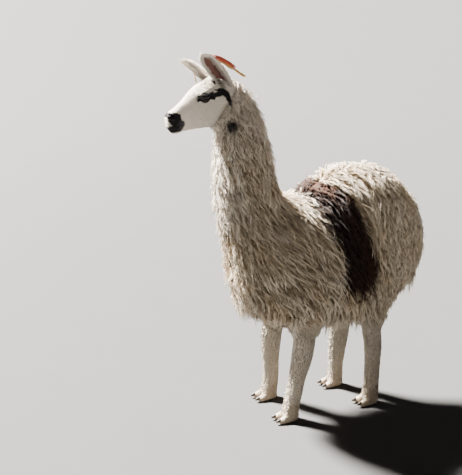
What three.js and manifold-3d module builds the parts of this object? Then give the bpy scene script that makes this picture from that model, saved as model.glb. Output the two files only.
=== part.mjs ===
// A standing llama in full fleece, life size, as a still museum model.
// Millimetres. +X is the way the animal faces, +Y its left side, +Z up, soles on Z = 0.
//
// The whole body is one smooth field: each limb, the neck and the trunk is a chain of oval
// sections, and the chains blend where they meet. Every part of the body is that field, turned
// into a closed surface inside the part's own planes, so that neighbours meet in thin flat cuts.
import * as THREE from "three";
import { mergeVertices } from "three/addons/utils/BufferGeometryUtils.js";
import Module from "manifold-3d";

const wasm = await Module();
wasm.setup();

// ---------------------------------------------------------------- driving sizes

const WITHERS = 1068; // top of the back ahead of the shoulders, before the neck blends in
const CROUP = 1232; // highest point of the fleece, over the hips
const RUMP_X = -378; // last section of the trunk, ahead of its rounded end
const CHEST_X = 330; // first section of the trunk, behind its rounded end
const BELLY = 415; // lowest hanging hair under the belly
const TRACK = 128; // half the distance between left and right feet
const LEG_CUT = 398; // the legs leave the coat here
const FOOT_CUT = 78; // the feet leave the legs here
const EYE = { x: 626, y: 57, z: 1572, radius: 23 };
const GAP = 0.4; // clearance left between neighbouring solids

// The space each surface is looked for in, as x, y and z ranges, and the size of its facets.
const TRUNK_SPACE = { x: [-600, 560], y: [-340, 340], z: [330, 1320], facet: 68 };
const NECK_SPACE = { x: [60, 680], y: [-260, 260], z: [760, 1700], facet: 48 };
const TAIL_SPACE = { x: [-580, -400], y: [-90, 90], z: [720, 1090], facet: 27 };
const HEAD_SPACE = { x: [430, 830], y: [-130, 130], z: [1340, 1700], facet: 16.4 };
const LEG_SPACE = { around: 110, z: [20, 470], facet: 36 };
const FOOT_SPACE = { around: [90, 60], z: [-40, 130], facet: 17.3 };

const COAT = new THREE.MeshStandardMaterial({ color: 0xd9cfbd, roughness: 0.95 });
const SHORT_COAT = new THREE.MeshStandardMaterial({ color: 0xe6e1d8, roughness: 0.85 });
const EAR_SKIN = new THREE.MeshStandardMaterial({ color: 0xc9a79b, roughness: 0.8 });
const EYE_DARK = new THREE.MeshStandardMaterial({ color: 0x120c09, roughness: 0.08 });
const NAIL = new THREE.MeshStandardMaterial({ color: 0x3a332c, roughness: 0.45 });
const RED_WOOL = new THREE.MeshStandardMaterial({ color: 0xd9401c, roughness: 0.9 });
const YELLOW_WOOL = new THREE.MeshStandardMaterial({ color: 0xe3a81f, roughness: 0.9 });

// ---------------------------------------------------------------- fields

const vec = (x, y, z) => new THREE.Vector3(x, y, z);

// Values between the rows of a table, on one smooth curve through them all.
function smoothRows(rows, perSpan) {
  const steps = (rows.length - 1) * perSpan;
  const curves = [0, 3].map((first) => {
    const points = rows.map((row) => vec(row[first], row[first + 1], row[first + 2] ?? 0));
    return new THREE.CatmullRomCurve3(points, false, "catmullrom", 0.5);
  });
  return Array.from({ length: steps + 1 }, (_, i) => {
    const [centre, radii] = curves.map((curve) => curve.getPoint(i / steps));
    return { centre, depth: radii.x, width: radii.y };
  });
}

// A chain of oval sections. Each row is the section's centre x, y, z, its half depth in the plane
// of symmetry and its half width across. `cap` is how far each end bulges past its last section.
function chain(rows, { cap = [20, 20], power = 2, perSpan = 3 } = {}) {
  const sections = smoothRows(rows, perSpan);
  const links = sections.slice(1).map((end, i) => {
    const start = sections[i];
    const along = end.centre.clone().sub(start.centre);
    const length = along.length();
    along.divideScalar(length);
    const across = vec(0, 1, 0).addScaledVector(along, -along.y).normalize();
    return { start, end, along, length, across, deep: along.clone().cross(across) };
  });
  const last = links.length - 1;
  const offset = vec(0, 0, 0);
  return (p) => {
    let nearest = Infinity;
    links.forEach(({ start, end, along, length, across, deep }, i) => {
      offset.copy(p).sub(start.centre);
      const t = Math.min(1, Math.max(0, offset.dot(along) / length));
      offset.addScaledVector(along, -t * length);
      const depth = start.depth + t * (end.depth - start.depth);
      const width = start.width + t * (end.width - start.width);
      const outer = (i === 0 && t === 0 && cap[0]) || (i === last && t === 1 && cap[1]);
      const axial = offset.dot(along) / (outer || Math.min(depth, width));
      const oval = (Math.abs(offset.dot(deep)) / depth) ** power
        + (Math.abs(offset.dot(across)) / width) ** power;
      const ratio = Math.hypot(oval ** (1 / power), axial);
      const reach = offset.length();
      const distance = ratio > 1e-6 ? reach * (1 - 1 / ratio) : -Math.min(depth, width);
      nearest = Math.min(nearest, distance);
    });
    return nearest;
  };
}

// An ellipsoid, pitched nose-down by `pitch` degrees about Y.
function lump(centre, radii, pitch = 0) {
  const turn = new THREE.Quaternion().setFromAxisAngle(vec(0, 1, 0), -pitch * THREE.MathUtils.DEG2RAD);
  const offset = vec(0, 0, 0);
  return (p) => {
    offset.copy(p).sub(centre).applyQuaternion(turn);
    const reach = offset.length();
    const ratio = offset.divide(radii).length();
    return ratio > 1e-6 ? reach * (1 - 1 / ratio) : -Math.min(radii.x, radii.y, radii.z);
  };
}

const onBothSides = (make) => [1, -1].map(make);

// Union of fields, each rounded into the ones before it over its own blend width.
const blend = (pairs) => (p) =>
  pairs.reduce((sum, [field, width]) => {
    const distance = field(p);
    const overlap = Math.max(width - Math.abs(sum - distance), 0) / width;
    return Math.min(sum, distance) - (overlap * overlap * width) / 4;
  }, Infinity);

// ---------------------------------------------------------------- the animal

// A trunk section from the height of its back, the height of its hem and its half width.
const ring = (x, top, hem, width) => [x, 0, (top + hem) / 2, (top - hem) / 2, width];

const trunk = chain(
  [
    ring(RUMP_X, CROUP - 80, BELLY + 230, 168),
    ring(-300, CROUP - 16, BELLY + 105, 220),
    ring(-170, CROUP, BELLY + 30, 250),
    ring(-20, CROUP - 88, BELLY + 13, 262),
    ring(110, WITHERS + 10, BELLY + 5, 256),
    ring(235, WITHERS - 22, BELLY + 35, 230),
    ring(CHEST_X, WITHERS - 78, BELLY + 98, 180),
  ],
  { cap: [98, 118], power: 2.25 },
);

const neck = chain(
  [
    [286, 0, 830, 178, 196],
    [358, 0, 960, 176, 172],
    [398, 0, 1090, 168, 150],
    [416, 0, 1225, 153, 134],
    [425, 0, 1330, 143, 123],
    [432, 0, 1425, 120, 107],
    [460, 0, 1510, 110, 90],
    [490, 0, 1576, 86, 73],
  ],
  { cap: [60, 40] },
);

const skull = chain(
  [
    [512, 0, 1556, 78, 62],
    [556, 0, 1545, 100, 74],
    [602, 0, 1530, 97, 74],
    [648, 0, 1509, 80, 57],
    [696, 0, 1488, 63, 42],
    [738, 0, 1471, 52, 35],
    [760, 0, 1464, 45, 32],
  ],
  { cap: [40, 25], power: 2.15 },
);

const headLumps = [
  ...onBothSides((side) => [lump(vec(584, side * 46, 1490), vec(52, 30, 58), 20), 26]), // cheek
  ...onBothSides((side) => [lump(vec(606, side * 48, 1592), vec(46, 26, 20), 14), 26]), // brow
  ...onBothSides((side) => [lump(vec(762, side * 18, 1488), vec(24, 16, 21), 20), 14]), // nostril wing
  ...onBothSides((side) => [lump(vec(766, side * 14, 1455), vec(19, 17, 17), 0), 12]), // upper lip
  [lump(vec(742, 0, 1432), vec(28, 24, 17), 8), 14], // lower lip and chin
  [lump(vec(560, 0, 1618), vec(44, 50, 36), 30), 30], // crown between the ears
];

// Legs run down from inside the coat: rows of x, z, half depth and half width at a side's track.
function leg(side, rows) {
  const placed = rows.map(([x, z, depth, width, inward = 0]) =>
    [x, side * (TRACK - inward), z, depth, width]);
  return chain(placed, { cap: [40, 30] });
}

// A foot is two padded toes side by side, each from heel to tip, under a rounded pastern.
const TOE = { length: 62, spread: 21, height: 21, width: 20, splay: 5 };

function foot(x, side) {
  const y = side * TRACK;
  const toes = onBothSides((toe) => chain(
    [
      [x - 34, y + toe * TOE.spread * 0.75, 20, 23, 19],
      [x + 8, y + toe * TOE.spread, TOE.height, 24, TOE.width],
      [x + TOE.length - 14, y + toe * (TOE.spread + TOE.splay), 14, 16, 17],
    ],
    { cap: [16, 17] },
  ));
  const pastern = chain([[x - 18, y, 96, 37, 36], [x - 8, y, 48, 37, 38]], { cap: [30, 24] });
  return blend([[pastern, 10], [toes[0], 20], [toes[1], 9]]);
}

const LEGS = {
  fore_left: { side: 1, foot: 232, rows: [
    [112, 560, 86, 70, 26], [140, 440, 62, 58, 8], [163, 318, 54, 52], [188, 215, 44, 44],
    [208, 110, 42, 42], [216, 60, 36, 38],
  ] },
  fore_right: { side: -1, foot: 222, rows: [
    [190, 560, 86, 70, 26], [194, 440, 63, 58, 8], [203, 318, 55, 52], [203, 215, 45, 44],
    [202, 110, 42, 42], [206, 60, 36, 38],
  ] },
  hind_left: { side: 1, foot: -222, rows: [
    [-235, 700, 150, 95, 30], [-228, 560, 115, 88, 16], [-226, 460, 72, 64, 4], [-226, 388, 50, 51],
    [-238, 320, 49, 47], [-240, 240, 43, 42], [-238, 120, 41, 40], [-238, 60, 36, 38],
  ] },
  hind_right: { side: -1, foot: -166, rows: [
    [-205, 700, 150, 95, 30], [-195, 560, 115, 88, 16], [-200, 460, 80, 66, 4], [-200, 370, 62, 54],
    [-192, 285, 57, 50], [-184, 205, 49, 45], [-180, 120, 42, 41], [-180, 60, 36, 38],
  ] },
};

const legFields = Object.values(LEGS).map(({ side, rows }) => leg(side, rows));
const footFields = Object.values(LEGS).map((one) => foot(one.foot, one.side));
const eyeball = (side) => vec(EYE.x, side * EYE.y, EYE.z);

const headField = blend([[skull, 20], ...headLumps]);
const body = blend([
  [trunk, 60],
  [neck, 110],
  [headField, 46],
  ...legFields.map((field) => [field, 50]),
  ...footFields.map((field) => [field, 14]),
]);

const tail = chain(
  [
    [-468, 0, 1030, 34, 42],
    [-503, 0, 985, 36, 52],
    [-516, 0, 900, 34, 58],
    [-508, 0, 815, 28, 46],
    [-500, 0, 768, 16, 24],
  ],
  { cap: [24, 18] },
);

// ---------------------------------------------------------------- surfaces and cuts

const CORNERS = [0, 1, 2, 3, 4, 5, 6, 7].map((i) => [i & 1, (i >> 1) & 1, (i >> 2) & 1]);
const EDGES = CORNERS.flatMap((_, a) => [1, 2, 4].filter((bit) => !(a & bit)).map((bit) => [a, a | bit]));

function slopeAt(field, p, step) {
  const slope = vec(0, 0, 0);
  for (const axis of ["x", "y", "z"]) {
    const ahead = p.clone();
    const behind = p.clone();
    ahead[axis] += step;
    behind[axis] -= step;
    slope[axis] = (field(ahead) - field(behind)) / (2 * step);
  }
  return slope;
}

// Moves a point along the field's slope until it lies on the surface.
function settle(field, p, step) {
  for (let turn = 0; turn < 2; turn++) {
    const slope = slopeAt(field, p, step);
    const move = field(p) / Math.max(slope.lengthSq(), 0.25);
    p.addScaledVector(slope, -THREE.MathUtils.clamp(move, -step * 4, step * 4));
  }
}

const STEPS = [[1, 0, 0], [0, 1, 0], [0, 0, 1]];

// Two insides that meet only across the corners of a grid square would share a bare edge, so the
// outside corner nearest the surface is taken in and joins them.
function joinTouching(values, cells, index, cell) {
  for (let changed = true; changed; ) {
    changed = false;
    for (const [i, j, k] of cells)
      for (let axis = 0; axis < 3; axis++) {
        const u = STEPS[(axis + 1) % 3];
        const v = STEPS[(axis + 2) % 3];
        const square = [[0, 0], [1, 0], [1, 1], [0, 1]].map(([a, b]) =>
          index(i + a * u[0] + b * v[0], j + a * u[1] + b * v[1], k + a * u[2] + b * v[2]));
        const [a, b, c, d] = square.map((n) => values[n] < 0);
        if (a !== c || b !== d || a === b) continue;
        const [first, second] = a ? [square[1], square[3]] : [square[0], square[2]];
        values[values[first] < values[second] ? first : second] = -cell * 0.02;
        changed = true;
      }
  }
}

const EVENING = 3; // rounds of evening out the vertices of a surface

// The closed surface of a field inside a box, as quads between grid cells. Each vertex is evened
// out between its neighbours and set back on the field. The result makes the solid, grown
// outward by the distance it is given.
function surface(field, { x, y, z, facet: cell }) {
  const box = new THREE.Box3(vec(x[0], y[0], z[0]), vec(x[1], y[1], z[1]));
  const size = box.getSize(vec(0, 0, 0)).divideScalar(cell).ceil().addScalar(3);
  const start = box.min.clone().subScalar(cell * 1.37);
  const innards = box.clone().expandByScalar(-cell);
  const index = (i, j, k) => (k * size.y + j) * size.x + i;
  const place = (i, j, k) => vec(i, j, k).multiplyScalar(cell).add(start);
  const values = new Float64Array(size.x * size.y * size.z);
  const cells = [];
  for (let k = 0; k < size.z; k++)
    for (let j = 0; j < size.y; j++)
      for (let i = 0; i < size.x; i++) {
        const p = place(i, j, k);
        values[index(i, j, k)] = box.containsPoint(p) ? field(p) : cell;
        if (i < size.x - 1 && j < size.y - 1 && k < size.z - 1) cells.push([i, j, k]);
      }
  const inside = (i, j, k) => values[index(i, j, k)] < 0;
  joinTouching(values, cells, index, cell);

  const vertexOf = new Map();
  const vertices = [];
  for (const [i, j, k] of cells) {
    const at = CORNERS.map(([a, b, c]) => values[index(i + a, j + b, k + c)]);
    const crossed = EDGES.filter(([a, b]) => at[a] < 0 !== at[b] < 0);
    if (!crossed.length) continue;
    const mean = vec(0, 0, 0);
    crossed.forEach(([a, b]) => {
      const t = at[a] / (at[a] - at[b]);
      mean.add(vec(...CORNERS[a]).lerp(vec(...CORNERS[b]), t));
    });
    mean.divideScalar(crossed.length).add(vec(i, j, k)).multiplyScalar(cell).add(start);
    vertexOf.set(index(i, j, k), vertices.length);
    vertices.push(mean);
  }

  const quads = [];
  for (const [i, j, k] of cells) {
    if (i * j * k === 0) continue;
    STEPS.forEach((step, axis) => {
      const here = inside(i, j, k);
      if (here === inside(i + step[0], j + step[1], k + step[2])) return;
      const u = STEPS[(axis + 1) % 3];
      const v = STEPS[(axis + 2) % 3];
      const quad = [[0, 0], [1, 0], [1, 1], [0, 1]].map(([a, b]) =>
        vertexOf.get(index(i - a * u[0] - b * v[0], j - a * u[1] - b * v[1], k - a * u[2] - b * v[2])));
      quads.push(here ? quad : quad.reverse());
    });
  }

  const free = vertices.map((p) => innards.containsPoint(p));
  vertices.forEach((p, n) => free[n] && settle(field, p, cell * 0.1));
  for (let round = 0; round < EVENING; round++) {
    const sums = vertices.map(() => vec(0, 0, 0));
    const counts = vertices.map(() => 0);
    for (const quad of quads)
      quad.forEach((n, corner) => {
        sums[n].add(vertices[quad[(corner + 1) % 4]]).add(vertices[quad[(corner + 3) % 4]]);
        counts[n] += 2;
      });
    vertices.forEach((p, n) => {
      if (free[n]) settle(field, p.lerp(sums[n].divideScalar(counts[n]), 0.7), cell * 0.1);
    });
  }

  const outward = vertices.map((p, n) => (free[n] ? slopeAt(field, p, 1).normalize() : vec(0, 0, 0)));
  const triangles = quads.flatMap(([a, b, c, d]) => {
    const short = vertices[a].distanceTo(vertices[c]) < vertices[b].distanceTo(vertices[d]);
    return short ? [a, b, c, a, c, d] : [a, b, d, b, c, d];
  });
  return (growth = 0) => {
    const grown = vertices.flatMap((p, n) => p.clone().addScaledVector(outward[n], growth).toArray());
    return solid(new Float32Array(grown), new Uint32Array(triangles));
  };
}

function solid(vertProperties, triVerts) {
  return new wasm.Manifold(new wasm.Mesh({ numProp: 3, vertProperties, triVerts }));
}

// A three.js geometry, closed once its shared vertices are merged, as a solid.
function solidOf(geometry) {
  const bare = geometry.clone();
  bare.deleteAttribute("normal");
  bare.deleteAttribute("uv");
  const merged = mergeVertices(bare, 1e-3);
  return solid(merged.attributes.position.array, new Uint32Array(merged.index.array));
}

// Everything on the far side of a plane, as a block to cut away. `toward` points into the block.
function beyond(point, toward, extent = 3000) {
  const block = new THREE.BoxGeometry(extent, extent, extent);
  const turn = new THREE.Quaternion().setFromUnitVectors(vec(0, 0, 1), toward.clone().normalize());
  block.translate(0, 0, extent / 2).applyQuaternion(turn);
  block.translate(point.x, point.y, point.z);
  return solidOf(block);
}

const PLANES = {
  floor: { point: vec(0, 0, 0), up: vec(0, 0, 1) },
  ankle: { point: vec(0, 0, FOOT_CUT), up: vec(0, 0, 1) },
  hem: { point: vec(0, 0, LEG_CUT), up: vec(0, 0, 1) },
  shoulder: { point: vec(228, 0, 1096), up: vec(0.555, 0, 0.832) },
  throat: { point: vec(515, 0, 1500), up: vec(0.83, 0, 0.56) },
};

// Keeps what lies above and below the named planes, half a gap clear of each.
function cutBetween(made, above, below) {
  const clear = (plane, sign) =>
    PLANES[plane].point.clone().addScaledVector(PLANES[plane].up, (sign * GAP) / 2);
  let kept = made;
  if (above) {
    const under = clear(above, above === "floor" ? 0 : 1);
    kept = kept.subtract(beyond(under, PLANES[above].up.clone().negate()));
  }
  if (below) kept = kept.subtract(beyond(clear(below, -1), PLANES[below].up));
  return kept;
}

const around = (low, reach, high = low) => [low - reach, high + reach];
const parts = new THREE.Group();

function add(name, made, material) {
  const { vertProperties, triVerts } = made.getMesh();
  const geometry = new THREE.BufferGeometry();
  geometry.setAttribute("position", new THREE.BufferAttribute(vertProperties, 3));
  geometry.setIndex(new THREE.BufferAttribute(triVerts, 1));
  geometry.computeVertexNormals();
  const mesh = new THREE.Mesh(geometry, material);
  mesh.name = name;
  parts.add(mesh);
}

// ---------------------------------------------------------------- trunk, neck and tail

const trunkShape = surface(body, TRUNK_SPACE);
const neckShape = surface(body, NECK_SPACE);
const tailShape = surface(tail, TAIL_SPACE);
add("trunk", cutBetween(trunkShape(), "hem", "shoulder"), COAT);
add("neck", cutBetween(neckShape(), "shoulder", "throat"), COAT);
add("tail", tailShape().subtract(trunkShape(1)), COAT);

// ---------------------------------------------------------------- head and eyes

function ball(centre, radii, turn = [0, 0, 0], detail = [14, 10]) {
  const geometry = new THREE.SphereGeometry(1, ...detail);
  geometry.scale(radii.x, radii.y, radii.z);
  geometry.rotateX(turn[0]).rotateY(turn[1]).rotateZ(turn[2]);
  return solidOf(geometry.translate(centre.x, centre.y, centre.z));
}

const headShape = surface(body, HEAD_SPACE);
let headSolid = cutBetween(headShape(), "throat", null);

for (const side of [1, -1]) {
  const name = side > 0 ? "left" : "right";
  const round = vec(1, 1, 1).multiplyScalar(EYE.radius);
  headSolid = headSolid.subtract(ball(eyeball(side), round.clone().addScalar(1), [0, 0, 0], [13, 8]));
  add(`eye_${name}`, ball(eyeball(side), round, [0, 0, 0], [13, 8]), EYE_DARK);
  // The nostril is a slanting slit that runs back and up from the tip of the nose.
  const nostril = vec(768, side * 26, 1492);
  headSolid = headSolid.subtract(ball(nostril, vec(15, 9, 4.5), [0, 0.65, side * -0.5], [10, 6]));
}

// The closed mouth shows as a groove from one corner, round the lips, to the other.
const MOUTH = { x: 716, z: 1449, rise: 0.06, length: 78, width: 110, gape: 3 };
const mouth = new THREE.BoxGeometry(MOUTH.length, MOUTH.width, MOUTH.gape);
mouth.translate(MOUTH.length / 2, 0, 0).rotateY(MOUTH.rise).translate(MOUTH.x, 0, MOUTH.z);
headSolid = headSolid.subtract(solidOf(mouth).subtract(headShape(-5)));
add("head", headSolid, SHORT_COAT);

// ---------------------------------------------------------------- ears

// An ear is a tall cupped leaf. Its sections are crescents that wrap round the hollow and close
// to a rounded point, along a stem that leans from base to tip and bows towards the hollow.
const EAR = { wall: 7, halfWidth: 37, cup: 0.55, bow: 10, rings: 8, arc: 6 };

function crescent(t) {
  const swell = THREE.MathUtils.lerp(0.66, 1, THREE.MathUtils.smoothstep(t, 0, 0.5));
  const close = (1 - (Math.max(t - 0.5, 0) / 0.5) ** 3.2) ** 0.5;
  const outer = EAR.halfWidth * Math.max(swell * close, 0.12);
  const inner = outer - Math.min(EAR.wall * (1 - 0.35 * t), outer * 0.6);
  const open = THREE.MathUtils.lerp(0.5, 1, Math.min(1, 1.8 * t)) * (Math.PI / 2);
  const arc = Array.from({ length: EAR.arc + 1 }, (_, i) =>
    THREE.MathUtils.lerp(open, 2 * Math.PI - open, i / EAR.arc));
  const along = (radius) => (angle) => [radius * EAR.cup * Math.cos(angle), radius * Math.sin(angle)];
  return [...arc.map(along(outer)), ...arc.reverse().map(along(inner))];
}

// `base` and `tip` place the stem, and `mouthward` is the way that the hollow opens.
function ear({ base, tip, mouthward }) {
  const up = tip.clone().sub(base).normalize();
  const open = mouthward.clone().addScaledVector(up, -mouthward.dot(up)).normalize();
  const across = up.clone().cross(open);
  const vertices = [];
  const ringSize = 2 * (EAR.arc + 1);
  for (let r = 0; r <= EAR.rings; r++) {
    const t = (r / EAR.rings) ** 0.9;
    const centre = base.clone().lerp(tip, t).addScaledVector(open, EAR.bow * (2 * t - 1) ** 2);
    crescent(t).forEach(([forward, sideways]) => {
      const p = centre.clone().addScaledVector(open, forward).addScaledVector(across, sideways);
      vertices.push(...p.toArray());
    });
  }
  const triangles = [];
  for (let r = 0; r < EAR.rings; r++)
    for (let i = 0; i < ringSize; i++) {
      const next = (i + 1) % ringSize;
      const [a, b] = [r * ringSize + i, r * ringSize + next];
      triangles.push(a, b, a + ringSize, b, b + ringSize, a + ringSize);
    }
  for (let i = 0; i < EAR.arc; i++) {
    const [a, b] = [i, i + 1];
    const [c, d] = [ringSize - 1 - i, ringSize - 2 - i];
    const top = EAR.rings * ringSize;
    triangles.push(a, c, b, b, c, d);
    triangles.push(top + a, top + b, top + c, top + b, top + d, top + c);
  }
  return solid(new Float32Array(vertices), new Uint32Array(triangles));
}

const EARS = {
  left: { base: vec(492, 42, 1590), tip: vec(650, 84, 1761), mouthward: vec(0.66, 0.74, 0.05) },
  right: { base: vec(543, -36, 1614), tip: vec(664, -104, 1722), mouthward: vec(0.85, 0.2, -0.53) },
};
for (const [side, placing] of Object.entries(EARS))
  add(`ear_${side}`, ear(placing).subtract(headShape(0.6)), EAR_SKIN);

// ---------------------------------------------------------------- legs, feet and nails

for (const [name, one] of Object.entries(LEGS)) {
  const centre = one.side * TRACK;
  const xs = [...one.rows.map((row) => row[0]), one.foot];
  const legShape = surface(body, {
    ...LEG_SPACE,
    x: around(Math.min(...xs), LEG_SPACE.around, Math.max(...xs)),
    y: around(centre, LEG_SPACE.around),
  });
  const footShape = surface(body, {
    ...FOOT_SPACE,
    x: around(one.foot, FOOT_SPACE.around[0]),
    y: around(centre, FOOT_SPACE.around[1]),
  });
  add(`leg_${name}`, cutBetween(legShape(), "ankle", "hem"), SHORT_COAT);
  add(`foot_${name}`, cutBetween(footShape(), "floor", "ankle"), SHORT_COAT);
  for (const toe of [1, -1]) {
    const tip = vec(one.foot + TOE.length + 1, centre + toe * (TOE.spread + TOE.splay + 0.5), 19);
    const nail = ball(tip, vec(19, 8, 9), [0, 0.42, 0], [6, 4]);
    const label = toe * one.side > 0 ? "outer" : "inner";
    add(`nail_${name}_${label}`, nail.subtract(footShape(0.5)), NAIL);
  }
}

// ---------------------------------------------------------------- ear tassels

// A tassel is a flat bundle of yarn: an extruded oval that swells from its knot to its cut end.
function tassel(points, halfWidth, thickness) {
  const outline = new THREE.Shape().absellipse(0, 0, thickness / 2, halfWidth, 0, Math.PI * 2);
  const path = new THREE.CatmullRomCurve3(points);
  const geometry = new THREE.ExtrudeGeometry(outline, { steps: 4, curveSegments: 3, extrudePath: path });
  return solidOf(geometry);
}

const nearEars = parts.children.filter((mesh) => mesh.name.startsWith("ear_"));

function addTassel(name, made, material) {
  const clear = nearEars.reduce((left, mesh) => left.subtract(solidOf(mesh.geometry)), made);
  add(name, clear, material);
}

addTassel("tassel_left_wool", tassel(
  [vec(603, 93, 1747), vec(572, 97, 1737), vec(536, 99, 1716), vec(503, 100, 1691)], 11, 8), RED_WOOL);
addTassel("tassel_left_end", tassel(
  [vec(502, 100, 1690), vec(479, 100, 1671), vec(455, 100, 1657)], 5, 6), YELLOW_WOOL);
addTassel("tassel_right", tassel(
  [vec(613, -108, 1669), vec(617, -107, 1642), vec(605, -94, 1616)], 4, 4), YELLOW_WOOL);

// ---------------------------------------------------------------- the part's own frame

// The origin lies on the floor under the middle of the whole animal.
const extent = new THREE.Box3().setFromObject(parts);
const middle = extent.getCenter(vec(0, 0, 0));
parts.position.set(-middle.x, -middle.y, -extent.min.z);
const llama = new THREE.Group();
llama.add(parts);

export default llama;
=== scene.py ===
import math

import bpy
import numpy as np
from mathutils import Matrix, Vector
from mathutils.bvhtree import BVHTree


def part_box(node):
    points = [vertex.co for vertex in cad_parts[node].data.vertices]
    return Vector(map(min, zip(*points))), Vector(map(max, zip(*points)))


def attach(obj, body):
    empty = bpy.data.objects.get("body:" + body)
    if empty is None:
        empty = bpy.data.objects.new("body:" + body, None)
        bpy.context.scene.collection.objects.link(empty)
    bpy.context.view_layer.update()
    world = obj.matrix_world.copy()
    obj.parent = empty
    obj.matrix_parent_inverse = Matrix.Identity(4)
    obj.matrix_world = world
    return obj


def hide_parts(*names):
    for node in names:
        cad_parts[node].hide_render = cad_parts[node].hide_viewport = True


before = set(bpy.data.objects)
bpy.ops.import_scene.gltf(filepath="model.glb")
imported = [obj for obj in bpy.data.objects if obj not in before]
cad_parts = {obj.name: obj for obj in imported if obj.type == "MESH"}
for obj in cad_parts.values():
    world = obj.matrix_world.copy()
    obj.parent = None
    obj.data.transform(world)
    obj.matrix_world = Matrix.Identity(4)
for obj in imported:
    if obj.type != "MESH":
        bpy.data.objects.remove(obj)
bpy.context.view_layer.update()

# A standing llama. One skin is drawn over its solids, set in from them by the depth of the coat, and
# the coat is built on it as closed tapered strands: long wavy locks on the body, short hair elsewhere.
# Places are in metres on the animal: x forward, y to its left, z up, with x = 0 in mid-trunk.

UPWARDS = np.array([0.0, 0.0, 1.0])

# Eyes, which also tie the animal's own places to the frame.
EYE = np.array([0.626, 0.057, 1.572])
EYE_RADIUS = 0.023
EYE_AXIS = (0.22, 0.95, 0.10)
EYE_ROWS = 72
EYE_COLUMNS = 96
CORNEA_RISE = 0.045
CORNEA_SPAN = 0.72
IRIS_SPAN = 0.62
PUPIL = (0.30, 0.15)

eye_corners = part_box("eye_left")
SHIFT = (np.array(eye_corners[0]) + np.array(eye_corners[1])) / 2 - EYE

# Lids: the line between the corners of an eye, the angles from its middle to the edge of the opening,
# and the section of the lids, from their margin to their back, as scales of the opening and heights.
LID_LINE = (-0.97, 0.16, 0.15)
LID_HALF_WIDTH = math.radians(66)
LID_UP = math.radians(21)
LID_DOWN = math.radians(21)
LID_POINTS = 72
LID_PROFILE = ((1.00, -0.0008), (1.00, 0.0007), (1.03, 0.0015), (1.12, 0.0023), (1.26, 0.0028),
               (1.40, 0.0031), (1.54, 0.0029), (1.66, 0.0012))

# The solids that the skin stands for, with the grain of its mesh and how often each part is evened out.
FEET = ("fore_left", "fore_right", "hind_left", "hind_right")
FOOT_NODES = ["foot_" + foot for foot in FEET]
BODY_NODES = ["trunk", "neck", "tail", "head"] + ["leg_" + foot for foot in FEET]
LEG_NODES = ["leg_" + foot for foot in FEET] + FOOT_NODES
GRAIN = {"body": (0.012, 10), "head": (0.0023, 45), "legs": (0.0045, 14), "ear": (0.0019, 16),
         "nail": (0.0013, 12)}

# The plane where the head leaves the neck, how far past it face hair begins and is full, and the other
# edges between regions, each from none to all.
THROAT = np.array([0.515, 0.0, 1.500])
THROAT_NORMAL = np.array([0.829, 0.0, 0.559])
FACE_EDGE = (-0.012, 0.058)
FACE_RISE = (1.25, 1.33)
NECK_EDGE = (0.24, 0.36)
NECK_RISE = (0.93, 1.08)
NAPE_RISE = (1.24, 1.44)
RUMP_EDGE = (-0.30, -0.14)
TAIL_EDGE = (-0.480, -0.455)
RUMP_FRONT = -0.16
SHOULDER_BACK = 0.12
NECK_BACK = 0.22
NECK_BASE = 0.96
TAIL_FRONT = -0.462

# How low the locks hang along the body, and each leg's line from the elbow down: its x there, its
# x where it leaves the coat, and its side.
FRINGE_X = (-0.45, -0.28, -0.10, 0.04, 0.15, 0.25, 0.40)
FRINGE_Z = (0.470, 0.440, 0.425, 0.445, 0.490, 0.520, 0.530)
LEG_LINES = ((0.112, 0.145, 1), (0.190, 0.196, -1), (-0.226, -0.226, 1), (-0.195, -0.200, -1))
LEG_OFF = 0.122
LEG_LINE_TOP = 0.56
LEG_LINE_DROP = 0.16
LEG_REACH = (0.066, 0.094)
ELBOW = 0.535
KNEE = 0.495
HEM = 0.398
SHANK_TOP = 0.46

# Each ear: the middle of its root, its tip, and the way its hollow faces; and half its width along it.
EARS = {
    "ear_left": ((0.492, 0.042, 1.590), (0.650, 0.084, 1.761), (0.66, 0.74, 0.05)),
    "ear_right": ((0.543, -0.036, 1.614), (0.664, -0.104, 1.722), (0.85, 0.20, -0.53)),
}
EAR_NODES = list(EARS)
EAR_HALF_WIDTH = 0.037
EAR_SHAPE = ((0.0, 0.25, 0.5, 0.75, 0.92, 1.0), (0.72, 0.95, 1.0, 0.80, 0.42, 0.15))

# Grooves in the face, as broken lines.
NOSTRIL = ((0.779, 0.019, 1.503), (0.768, 0.027, 1.497), (0.757, 0.032, 1.485))
MOUTH = ((0.790, 0.000, 1.457), (0.775, 0.022, 1.456), (0.745, 0.036, 1.458), (0.712, 0.040, 1.465))
CLEFT = ((0.790, 0.0, 1.459), (0.792, 0.0, 1.487))

# Colours, as linear light.
CREAM = np.array([0.68, 0.57, 0.43])
WHITE = np.array([0.82, 0.76, 0.68])
# Painted shade: the grey that the white legs are darkened to below the body.
LEG_PAINTED_SHADE = np.array([0.50, 0.44, 0.36])
DUST = np.array([0.36, 0.27, 0.18])
UMBER = np.array([0.024, 0.008, 0.004])
RUSSET = np.array([0.078, 0.029, 0.011])
BLACK = np.array([0.011, 0.009, 0.010])
SLATE = np.array([0.055, 0.048, 0.056])
EAR_BROWN = np.array([0.210, 0.100, 0.082])
EAR_DEEP = np.array([0.070, 0.026, 0.020])
EAR_GREY = np.array([0.400, 0.355, 0.315])
EAR_PINK = np.array([0.480, 0.370, 0.340])
# Painted shade: how much darker the skin under the fleece is drawn, for the gaps between the locks.
HIDE_PAINTED_SHADE = np.array([0.50, 0.45, 0.39])
IRIS_BROWN = np.array([0.022, 0.010, 0.005])
EYE_DARK = np.array([0.014, 0.009, 0.007])
PUPIL_BLACK = np.array([0.002, 0.002, 0.003])
NAIL_FOOT = np.array([0.070, 0.050, 0.038])
NAIL_TOP = np.array([0.022, 0.017, 0.015])
YARN_RED = np.array([0.62, 0.075, 0.022])
YARN_YELLOW = np.array([0.66, 0.36, 0.03])

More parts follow.
